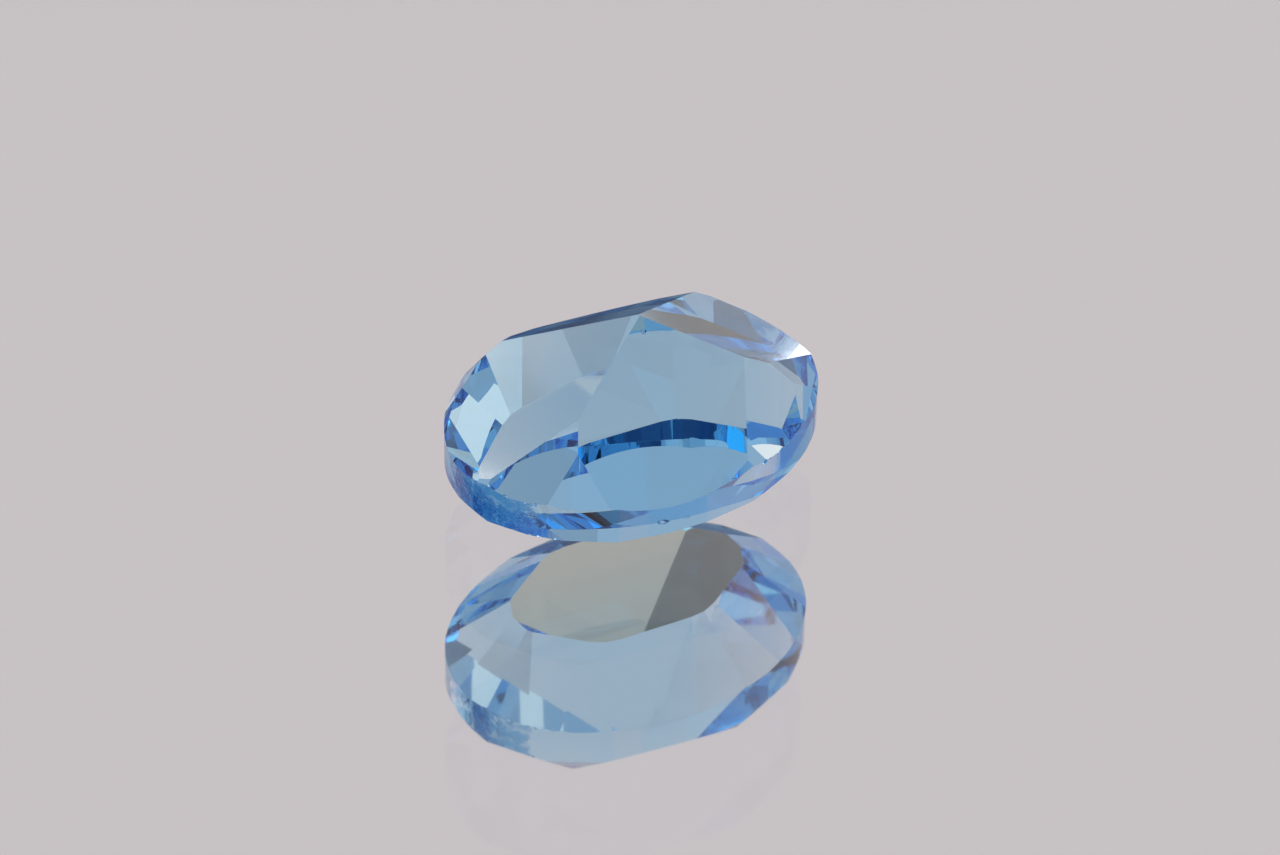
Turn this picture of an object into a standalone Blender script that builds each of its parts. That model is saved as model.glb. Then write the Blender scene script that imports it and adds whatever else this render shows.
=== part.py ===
"""A faceted oval gemstone that lies on its table, with its pointed side up.

The stone is shaped as a gem cutter shapes it: an oval blank is trimmed by flat
facets, tier after tier.  Lengths are metres and angles are degrees.  The origin
is the middle of the table, the large flat facet that the stone rests on, and
the long axis of the oval lies along +X.
"""

import math

import bmesh
import bpy
from mathutils import Vector

# Outline of the stone, seen from above
LENGTH = 0.00800
WIDTH = 0.00587
GIRDLE_SIDES = 96

# Heights of the two girdle edges above the table, and a height above the point
LOWER_GIRDLE = 0.00128
UPPER_GIRDLE = 0.00215
BLANK_HEIGHT = 0.00600

# A facet is placed by its turn, the place on the oval that it faces, and by its
# slope from level.  Turns run from the right end of the oval, to the back, to the
# left end and to the front.

# The four pavilion mains meet at the point.  They are cut a little deeper than the
# breaks, so each reaches the oval below the upper girdle edge: (turn, slope, drop)
PAVILION_MAINS = [
    (17.0, 35.5, 0.00012),
    (85.0, 42.0, 0.00014),
    (180.0, 35.0, 0.00008),
    (265.0, 47.0, 0.00014),
]
# Sixteen steep breaks follow the girdle, four in each quarter of the oval.  The
# stone is cut by hand, so their slopes differ from quarter to quarter.
BREAK_COUNT = 16
PAVILION_BREAK_SLOPES = [
    48.0, 55.0, 60.0, 60.0,
    52.0, 58.0, 60.0, 46.0,
    48.0, 48.0, 55.0, 60.0,
    64.0, 56.0, 64.0, 48.0,
]
# The crown, below the girdle, is regular: eight mains, steeper at the two ends of
# the oval, and sixteen breaks
CROWN_MAIN_COUNT = 8
CROWN_END_TURNS = (0.0, 180.0)
CROWN_MAIN_SLOPE = 41.0
CROWN_END_SLOPE = 43.0
CROWN_BREAK_SLOPE = 42.5

# The bisecting tool treats points nearer than this as lying on the plane
CUT_TOLERANCE = 1e-8

UP = 1
DOWN = -1

COLLECTION_NAME = "oval_topaz"
STONE_NAME = "faceted_stone"


def remove_old_objects():
    for old in list(bpy.data.objects):
        bpy.data.objects.remove(old)


def make_material():
    """Clear, lightly tinted blue crystal."""
    material = bpy.data.materials.new("blue_topaz")
    material.use_nodes = True
    shader = material.node_tree.nodes["Principled BSDF"]
    shader.inputs["Base Color"].default_value = (0.55, 0.78, 0.92, 1.0)
    shader.inputs["Roughness"].default_value = 0.0
    shader.inputs["Metallic"].default_value = 0.0
    shader.inputs["IOR"].default_value = 1.62
    shader.inputs["Transmission Weight"].default_value = 1.0
    return material


def make_blank():
    """Oval prism, taller than the finished stone, standing on the table plane."""
    mesh = bmesh.new()
    bmesh.ops.create_cone(
        mesh,
        cap_ends=True,
        segments=GIRDLE_SIDES,
        radius1=LENGTH / 2,
        radius2=LENGTH / 2,
        depth=BLANK_HEIGHT,
    )
    bmesh.ops.translate(mesh, verts=mesh.verts, vec=Vector((0.0, 0.0, BLANK_HEIGHT / 2)))
    bmesh.ops.scale(mesh, verts=mesh.verts, vec=Vector((1.0, WIDTH / LENGTH, 1.0)))
    return mesh


def cut_facet(mesh, turn, slope, height, side):
    """Trim away what lies beyond a plane, and close the cut with one flat face.

    The plane touches the oval at the given turn and height, and its outer side
    faces up or down.
    """
    angle = math.radians(turn)
    outward = Vector((math.cos(angle) / (LENGTH / 2), math.sin(angle) / (WIDTH / 2), 0.0))
    touch = outward / outward.length_squared
    touch.z = height
    tilt = math.radians(slope)
    normal = outward.normalized() * math.sin(tilt)
    normal.z = side * math.cos(tilt)

    everything = mesh.verts[:] + mesh.edges[:] + mesh.faces[:]
    result = bmesh.ops.bisect_plane(
        mesh,
        geom=everything,
        dist=CUT_TOLERANCE,
        plane_co=touch,
        plane_no=normal,
        clear_outer=True,
    )
    rim = [item for item in result["geom_cut"] if isinstance(item, bmesh.types.BMEdge)]
    if rim:
        bmesh.ops.contextual_create(mesh, geom=rim)


def break_turn(number):
    return (number + 0.5) * 360.0 / BREAK_COUNT


def cut_pavilion(mesh):
    for turn, slope, drop in PAVILION_MAINS:
        cut_facet(mesh, turn, slope, UPPER_GIRDLE - drop, UP)
    for number, slope in enumerate(PAVILION_BREAK_SLOPES):
        cut_facet(mesh, break_turn(number), slope, UPPER_GIRDLE, UP)


def cut_crown(mesh):
    for number in range(CROWN_MAIN_COUNT):
        turn = number * 360.0 / CROWN_MAIN_COUNT
        slope = CROWN_END_SLOPE if turn in CROWN_END_TURNS else CROWN_MAIN_SLOPE
        cut_facet(mesh, turn, slope, LOWER_GIRDLE, DOWN)
    for number in range(BREAK_COUNT):
        cut_facet(mesh, break_turn(number), CROWN_BREAK_SLOPE, LOWER_GIRDLE, DOWN)


def make_stone(collection):
    mesh = make_blank()
    cut_pavilion(mesh)
    cut_crown(mesh)
    bmesh.ops.recalc_face_normals(mesh, faces=mesh.faces[:])

    data = bpy.data.meshes.new(STONE_NAME)
    mesh.to_mesh(data)
    mesh.free()
    data.materials.append(make_material())
    stone = bpy.data.objects.new(STONE_NAME, data)
    collection.objects.link(stone)
    return stone


def main():
    remove_old_objects()
    collection = bpy.data.collections.new(COLLECTION_NAME)
    bpy.context.scene.collection.children.link(collection)
    make_stone(collection)


main()
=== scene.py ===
"""Looks of a faceted oval topaz: its crystal, its ground girdle, the light and the camera.

Lengths are metres and angles are degrees where nothing else is said.  The frame is
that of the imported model: the stone lies on its table at the origin, its long axis is
along X, and Z is up.
"""

import math
import random

import bmesh
import bpy
from mathutils import Matrix, Vector


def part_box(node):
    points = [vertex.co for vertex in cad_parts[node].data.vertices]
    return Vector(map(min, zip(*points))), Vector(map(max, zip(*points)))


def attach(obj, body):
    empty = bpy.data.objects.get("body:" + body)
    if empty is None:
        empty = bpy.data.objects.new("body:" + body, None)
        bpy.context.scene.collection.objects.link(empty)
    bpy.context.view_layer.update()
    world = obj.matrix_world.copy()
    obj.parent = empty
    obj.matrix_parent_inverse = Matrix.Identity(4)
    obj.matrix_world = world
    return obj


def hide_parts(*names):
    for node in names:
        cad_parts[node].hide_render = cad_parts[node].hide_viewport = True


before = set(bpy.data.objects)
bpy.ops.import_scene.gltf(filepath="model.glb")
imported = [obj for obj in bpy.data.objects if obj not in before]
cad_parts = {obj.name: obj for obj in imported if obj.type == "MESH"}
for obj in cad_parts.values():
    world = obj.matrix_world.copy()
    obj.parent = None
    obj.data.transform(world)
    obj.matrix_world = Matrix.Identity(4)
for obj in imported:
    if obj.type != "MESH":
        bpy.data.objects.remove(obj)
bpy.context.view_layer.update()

STONE_NODE = "faceted_stone"
stone_low, stone_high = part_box(STONE_NODE)
HALF_LENGTH = (stone_high.x - stone_low.x) / 2
HALF_WIDTH = (stone_high.y - stone_low.y) / 2

# Heights of the two girdle edges above the table
LOWER_GIRDLE = 0.00128
UPPER_GIRDLE = 0.00215
# A face belongs to the girdle where the upward part of its normal is less than this
GIRDLE_TILT_LIMIT = 0.05

# Camera: it looks down on the front left of the stone.  The outline in the photograph
# fits every elevation from 36 to 50 degrees, and this one was found by a search program
# that compared facet patterns.  The distance and the lens are guesses.  The lens and the
# sensor are in millimetres
CAMERA_AZIMUTH = -25.35
CAMERA_ELEVATION = 44.2
CAMERA_ROLL = 1.57
CAMERA_DISTANCE = 0.1231
NEAREST_SEEN = 0.001
LENS = 168.7
SENSOR_WIDTH = 36.0
IMAGE_WIDTH = 1280
IMAGE_HEIGHT = 855
# Pixel of the photograph where the centre of the upper girdle oval lies
RIM_PIXEL = (632.0, 403.6)

# Colours of the light boxes and cards.  White is also the base colour of clear glass
WHITE = (1.0, 1.0, 1.0, 1.0)
ROSE = (1.0, 0.8, 0.74, 1.0)
PEACH = (1.0, 0.6, 0.45, 1.0)
OLIVE = (0.665, 0.5, 0.386, 1.0)
SKY = (0.25, 0.85, 1.0, 1.0)
NIGHT_BLUE = (0.4, 0.57, 1.0, 1.0)

# The stone lies on a sheet of clear glass with a silvered back, and a hair of air
# keeps its table off the glass
SHEET_SIZE = 1.2
SHEET_THICKNESS = 0.0029
SHEET_GAP = 0.00001
SHEET_IOR = 1.52
MIRROR_COLOR = (0.95, 0.95, 0.95, 1.0)
MIRROR_ROUGHNESS = 0.03

# Crystal: how it bends light, how strongly it absorbs light for each metre of path, and
# the tint of the light that it lets pass
TOPAZ_IOR = 1.62
ABSORPTION_DENSITY = 150.0
ABSORPTION_COLOR = (0.0, 0.64, 0.965, 1.0)

# Facets: corners nearer than this are one corner, and triangles that bend less than
# this from each other lie on one facet
MERGE_DISTANCE = 1e-7
FLAT_ANGLE = 0.2
# Fine bevel along the edges of the facets
EDGE_WIDTH = 0.000008

# The girdle changes from polished to ground between these two places along X.  The
# ground part is rough and uneven, and takes its tint where the grain is strong
GROUND_FROM = -0.0029
GROUND_TO = -0.0031
GROUND_ROUGHNESS = 0.12
GROUND_TINT = (0.12, 0.4, 0.7, 1.0)
TINT_FROM_GRAIN = 0.3
TINT_TO_GRAIN = 0.5
GRAIN_SCALE = 5000.0
GRAIN_DETAIL = 6.0
GRAIN_DEPTH = 0.00002

# Small chips along the girdle edges: (first turn, last turn, edge height, how many, radius)
CHIP_SEED = 7
CHIP_RUNS = [
    (62.0, 150.0, LOWER_GIRDLE, 14, 0.00006),
    (188.0, 222.0, UPPER_GIRDLE, 9, 0.00004),
    (190.0, 232.0, LOWER_GIRDLE, 9, 0.00004),
    (292.0, 312.0, UPPER_GIRDLE, 6, 0.00005),
]
# Each chip is cut by a lump, drawn at random between these limits.  Its size is a share
# of the radius, its shifts are shares of its size, its stretch along each axis is a
# factor, and its tip to one side is in radians
LUMP_SIZE = (0.5, 1.3)
LUMP_SHIFT_OUT = (0.35, 0.6)
LUMP_SHIFT_UP = (-0.3, 0.3)
LUMP_STRETCH = [(0.8, 1.9), (0.8, 1.2), (0.7, 1.1)]
LUMP_TIP = (-0.5, 0.5)
LUMP_SUBDIVISIONS = 2

# Light is followed over this many facets; what goes round longer stays dark
LIGHT_BOUNCES = 16

# Studio: an even pale room, with light boxes and dark cards round the stone, each as
# (azimuth and elevation of its middle, width and height in degrees, strength, colour).
# Azimuths are turned from the camera's own side, to its right.  The cards are fitted to
# what the facets show in the one photograph, and are not the real room's lights
ROOM_COLOR = (0.605, 0.567, 0.585, 1.0)
ROOM_STRENGTH = 1.0
CARD_DISTANCE = 0.4
CARDS = [
    # Dark and dim cards beside the camera
    (-74.0, 50.0, 38.0, 36.0, 0.16, NIGHT_BLUE),
    (-30.0, 72.0, 20.0, 8.0, 0.08, NIGHT_BLUE),
    (-84.0, 75.0, 12.0, 8.0, 0.4, ROOM_COLOR),
    (-78.0, 20.0, 26.0, 18.0, 0.6, ROOM_COLOR),
    (41.5, 37.0, 12.0, 8.0, 0.03, ROOM_COLOR),
    # Dark and dim cards behind the stone, and one low at its right
    (-140.0, 62.0, 16.0, 14.0, 0.28, OLIVE),
    (148.0, 72.0, 30.0, 16.0, 0.87, OLIVE),
    (126.0, 50.0, 26.0, 14.0, 0.78, ROOM_COLOR),
    (150.0, 42.0, 14.0, 9.0, 0.78, ROOM_COLOR),
    (-150.0, 13.0, 14.0, 12.0, 0.35, NIGHT_BLUE),
    (-177.0, 34.0, 14.0, 7.0, 0.15, NIGHT_BLUE),
    (90.0, 4.0, 20.0, 6.0, 0.45, ROOM_COLOR),
    # Light boxes at the right
    (96.0, 20.5, 26.0, 21.0, 1.95, PEACH),
    (80.0, 39.0, 30.0, 15.0, 1.1, PEACH),
    (54.0, 28.0, 12.0, 10.0, 1.1, PEACH),
    (45.0, 58.0, 20.0, 12.0, 1.2, SKY),
    # Light boxes behind the stone
    (117.0, 36.0, 9.0, 8.0, 0.75, WHITE),
    (114.0, 68.0, 9.0, 8.0, 1.3, PEACH),
    (156.5, 21.0, 12.0, 9.6, 1.8, ROSE),
    (164.9, 17.0, 3.8, 12.0, 5.0, WHITE),
    (-136.5, 52.0, 9.0, 10.0, 2.0, PEACH),
    (-137.0, 38.5, 12.0, 7.0, 0.8, WHITE),
    (-124.5, 33.0, 8.5, 12.0, 2.0, WHITE),
    # Light boxes beside the camera and above it
    (-24.0, 16.0, 24.0, 16.0, 1.0, ROSE),
    (-24.0, 57.0, 15.0, 11.0, 1.4, PEACH),
    (24.0, 44.0, 10.0, 7.0, 1.0, PEACH),
    (-60.0, 84.0, 12.0, 7.0, 1.3, SKY),
]


def new_material(name):
    material = bpy.data.materials.new(name)
    material.use_nodes = True
    return material, material.node_tree.nodes, material.node_tree.links


def set_glass(shader, ior):
    shader.inputs["Base Color"].default_value = WHITE
    shader.inputs["Roughness"].default_value = 0.0
    shader.inputs["IOR"].default_value = ior
    shader.inputs["Transmission Weight"].default_value = 1.0


def add_absorption(nodes, links):
    absorption = nodes.new("ShaderNodeVolumeAbsorption")
    absorption.inputs["Color"].default_value = ABSORPTION_COLOR
    absorption.inputs["Density"].default_value = ABSORPTION_DENSITY
    links.new(absorption.outputs["Volume"], nodes["Material Output"].inputs["Volume"])


def add_math(nodes, links, operation, *values):
    """A math node; each of its values is a node output or a plain number."""
    node = nodes.new("ShaderNodeMath")
    node.operation = operation
    for socket, value in zip(node.inputs, values):
        if isinstance(value, float):
            socket.default_value = value
        else:
            links.new(value, socket)
    return node.outputs["Value"]


def add_ground_mask(nodes, links, place):
    """1 where the girdle is ground and 0 where the stone is polished."""
    geometry = nodes.new("ShaderNodeNewGeometry")
    normal = nodes.new("ShaderNodeSeparateXYZ")
    links.new(geometry.outputs["True Normal"], normal.inputs["Vector"])
    tilt = add_math(nodes, links, "ABSOLUTE", normal.outputs["Z"])
    wall = add_math(nodes, links, "LESS_THAN", tilt, GIRDLE_TILT_LIMIT)

    position = nodes.new("ShaderNodeSeparateXYZ")
    links.new(place, position.inputs["Vector"])
    left = nodes.new("ShaderNodeMapRange")
    left.inputs["From Min"].default_value = GROUND_FROM
    left.inputs["From Max"].default_value = GROUND_TO
    links.new(position.outputs["X"], left.inputs["Value"])
    return add_math(nodes, links, "MULTIPLY", wall, left.outputs["Result"])


def add_grain(nodes, links, place):
    noise = nodes.new("ShaderNodeTexNoise")
    noise.inputs["Scale"].default_value = GRAIN_SCALE
    noise.inputs["Detail"].default_value = GRAIN_DETAIL
    links.new(place, noise.inputs["Vector"])
    return noise.outputs["Fac"]


def add_ground_tint(nodes, links, ground, grain):
    """Clear on the polished part, and blue on the grains of the ground part."""
    ramp = nodes.new("ShaderNodeValToRGB")
    clear, tinted = ramp.color_ramp.elements
    clear.color = WHITE
    clear.position = TINT_FROM_GRAIN
    tinted.color = GROUND_TINT
    tinted.position = TINT_TO_GRAIN
    speckle = add_math(nodes, links, "MULTIPLY", ground, grain)
    links.new(speckle, ramp.inputs["Fac"])
    return ramp.outputs["Color"]


def add_ground_bump(nodes, links, ground, grain):
    bump = nodes.new("ShaderNodeBump")
    bump.inputs["Distance"].default_value = GRAIN_DEPTH
    links.new(ground, bump.inputs["Strength"])
    links.new(grain, bump.inputs["Height"])
    return bump.outputs["Normal"]


def make_crystal_material():
    """Clear blue crystal, with its girdle ground and speckled at the left end.

    The stone has one material all over, so that light which enters by a facet and
    leaves by the girdle is tinted inside the stone only.
    """
    material, nodes, links = new_material("topaz")
    shader = nodes["Principled BSDF"]
    set_glass(shader, TOPAZ_IOR)
    add_absorption(nodes, links)

    place = nodes.new("ShaderNodeTexCoord").outputs["Object"]
    ground = add_ground_mask(nodes, links, place)
    grain = add_grain(nodes, links, place)
    tint = add_ground_tint(nodes, links, ground, grain)
    roughness = add_math(nodes, links, "MULTIPLY", ground, GROUND_ROUGHNESS)
    bumps = add_ground_bump(nodes, links, ground, grain)
    links.new(tint, shader.inputs["Base Color"])
    links.new(roughness, shader.inputs["Roughness"])
    links.new(bumps, shader.inputs["Normal"])
    return material


def make_object(name, mesh):
    """Put a finished bmesh into the scene as an object."""
    data = bpy.data.meshes.new(name)
    mesh.to_mesh(data)
    mesh.free()
    made = bpy.data.objects.new(name, data)
    bpy.context.scene.collection.objects.link(made)
    return made


def is_girdle(face):
    return abs(face.normal.z) < GIRDLE_TILT_LIMIT


def join_triangles(mesh):
    """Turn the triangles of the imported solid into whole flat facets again."""
    bmesh.ops.remove_doubles(mesh, verts=mesh.verts, dist=MERGE_DISTANCE)
    bmesh.ops.dissolve_limit(
        mesh,
        angle_limit=math.radians(FLAT_ANGLE),
        verts=mesh.verts[:],
        edges=mesh.edges[:],
    )


def bevel_facet_edges(mesh):
    """Give every edge a fine bevel, except those between two sides of the girdle."""
    facet_edges = [
        edge for edge in mesh.edges
        if len(edge.link_faces) == 2 and not all(is_girdle(face) for face in edge.link_faces)
    ]
    bmesh.ops.bevel(
        mesh,
        geom=facet_edges,
        offset=EDGE_WIDTH,
        segments=1,
        affect="EDGES",
        clamp_overlap=True,
    )


def smooth_girdle(mesh):
    """Shade the sides of the girdle as one round wall, and keep the facets flat."""
    for face in mesh.faces:
        face.smooth = is_girdle(face)
    for edge in mesh.edges:
        edge.smooth = all(is_girdle(face) for face in edge.link_faces)


def make_stone():
    """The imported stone, with bevelled facet edges, a smooth round girdle and chips."""
    mesh = bmesh.new()
    mesh.from_mesh(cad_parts[STONE_NODE].data)
    join_triangles(mesh)
    bevel_facet_edges(mesh)
    smooth_girdle(mesh)
    stone = make_object("topaz", mesh)
    stone.data.materials.append(make_crystal_material())
    chip_edges(stone)
    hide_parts(STONE_NODE)
    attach(stone, "root")


def rim_point(turn, height):
    angle = math.radians(turn)
    return Vector((HALF_LENGTH * math.cos(angle), HALF_WIDTH * math.sin(angle), height))


def add_lump(mesh, numbers, turn, height, radius):
    """A stretched and tipped ball, with its middle just outside a girdle edge."""
    size = radius * numbers.uniform(*LUMP_SIZE)
    middle = rim_point(turn, height)
    outward = Vector((middle.x / HALF_LENGTH ** 2, middle.y / HALF_WIDTH ** 2, 0.0))
    middle += outward.normalized() * size * numbers.uniform(*LUMP_SHIFT_OUT)
    middle.z += size * numbers.uniform(*LUMP_SHIFT_UP)
    stretch = Matrix.Diagonal([numbers.uniform(*span) for span in LUMP_STRETCH]).to_4x4()
    spin = Matrix.Rotation(numbers.uniform(0.0, math.pi), 4, "Z")
    spin = spin @ Matrix.Rotation(numbers.uniform(*LUMP_TIP), 4, "X")
    bmesh.ops.create_icosphere(
        mesh,
        subdivisions=LUMP_SUBDIVISIONS,
        radius=size,
        matrix=Matrix.Translation(middle) @ spin @ stretch,
    )


def make_chip_cutter():
    """Small lumps, sunk a little into the girdle edges, at guessed places."""
    numbers = random.Random(CHIP_SEED)
    mesh = bmesh.new()
    for first, last, height, count, radius in CHIP_RUNS:
        for _ in range(count):
            turn = numbers.uniform(first, last)
            add_lump(mesh, numbers, turn, height, radius)
    return make_object("chip_cutter", mesh)


def chip_edges(stone):
    """Cut the chips out of the stone, and put the result in its mesh."""
    cutter = make_chip_cutter()
    cut = stone.modifiers.new("chips", "BOOLEAN")
    cut.operation = "DIFFERENCE"
    cut.use_self = True
    cut.object = cutter
    graph = bpy.context.evaluated_depsgraph_get()
    chipped = bpy.data.meshes.new_from_object(stone.evaluated_get(graph))
    stone.modifiers.clear()
    stone.data = chipped
    bpy.data.objects.remove(cutter)


def make_plate(name, height, material):
    bpy.ops.mesh.primitive_plane_add(size=SHEET_SIZE, location=(0.0, 0.0, height))
    plate = bpy.context.object
    plate.name = name
    plate.data.materials.append(material)


def make_floor():
    """Plain silvered sheet: a mirror below a layer of clear glass."""
    glass, nodes, _ = new_material("floor_glass")
    set_glass(nodes["Principled BSDF"], SHEET_IOR)
    make_plate("floor_surface", -SHEET_GAP, glass)

    mirror, nodes, _ = new_material("floor_mirror")
    silver = nodes["Principled BSDF"]
    silver.inputs["Base Color"].default_value = MIRROR_COLOR
    silver.inputs["Metallic"].default_value = 1.0
    silver.inputs["Roughness"].default_value = MIRROR_ROUGHNESS
    make_plate("floor_back", -SHEET_THICKNESS, mirror)


def direction(azimuth, elevation):
    """Unit vector from the stone; azimuth 0 is the front, and it grows to the right."""
    turn = math.radians(azimuth)
    rise = math.radians(elevation)
    return Vector((
        math.sin(turn) * math.cos(rise),
        -math.cos(turn) * math.cos(rise),
        math.sin(rise),
    ))


def card_side(angle):
    """Length of a card's side that fills this angle, seen from the stone."""
    return 2 * CARD_DISTANCE * math.tan(math.radians(angle / 2))


def make_card_material(name, strength, color):
    material, nodes, links = new_material(name)
    emission = nodes.new("ShaderNodeEmission")
    emission.inputs["Color"].default_value = color
    emission.inputs["Strength"].default_value = strength
    links.new(emission.outputs["Emission"], nodes["Material Output"].inputs["Surface"])
    return material


def make_card(name, azimuth, elevation, width, height, strength, color):
    """A light box, or a dark card where the strength is low, facing the stone."""
    towards = direction(CAMERA_AZIMUTH + azimuth, elevation)
    bpy.ops.mesh.primitive_plane_add(size=1.0)
    card = bpy.context.object
    card.name = name
    card.scale = (card_side(width), card_side(height), 1.0)
    card.rotation_mode = "QUATERNION"
    card.rotation_quaternion = towards.to_track_quat("Z", "Y")
    card.location = towards * CARD_DISTANCE
    card.data.materials.append(make_card_material(name, strength, color))
    card.visible_camera = False


def make_studio():
    world = bpy.data.worlds.new("studio")
    bpy.context.scene.world = world
    world.use_nodes = True
    background = world.node_tree.nodes["Background"]
    background.inputs["Color"].default_value = ROOM_COLOR
    background.inputs["Strength"].default_value = ROOM_STRENGTH
    for number, card in enumerate(CARDS):
        make_card("studio_card_%d" % number, *card)


def camera_axes():
    """Unit vectors to the camera's right, up and back, with its roll."""
    back = direction(CAMERA_AZIMUTH, CAMERA_ELEVATION)
    level = (-back).to_track_quat("-Z", "Y")
    roll = math.radians(CAMERA_ROLL)
    level_right = level @ Vector((1.0, 0.0, 0.0))
    level_up = level @ Vector((0.0, 1.0, 0.0))
    right = level_right * math.cos(roll) + level_up * math.sin(roll)
    up = level_up * math.cos(roll) - level_right * math.sin(roll)
    return right, up, back


def make_camera():
    """Camera that shows the centre of the upper girdle oval at its pixel of the photograph."""
    data = bpy.data.cameras.new("camera")
    camera = bpy.data.objects.new("camera", data)
    bpy.context.scene.collection.objects.link(camera)
    bpy.context.scene.camera = camera
    data.lens = LENS
    data.sensor_width = SENSOR_WIDTH
    data.clip_start = NEAREST_SEEN

    right, up, back = camera_axes()
    pixel = CAMERA_DISTANCE * SENSOR_WIDTH / LENS / IMAGE_WIDTH
    target = Vector((0.0, 0.0, UPPER_GIRDLE))
    target -= right * (RIM_PIXEL[0] - IMAGE_WIDTH / 2) * pixel
    target += up * (RIM_PIXEL[1] - IMAGE_HEIGHT / 2) * pixel
    camera.location = target + back * CAMERA_DISTANCE
    camera.rotation_mode = "QUATERNION"
    camera.rotation_quaternion = Matrix((right, up, back)).transposed().to_quaternion()


def set_light_paths():
    """Light crosses the stone many times, so its paths are let run long."""
    cycles = bpy.context.scene.cycles
    cycles.max_bounces = LIGHT_BOUNCES
    cycles.glossy_bounces = LIGHT_BOUNCES
    cycles.transmission_bounces = LIGHT_BOUNCES


make_camera()
make_stone()
make_floor()
make_studio()
set_light_paths()
bpy.context.scene.view_settings.view_transform = "Standard"
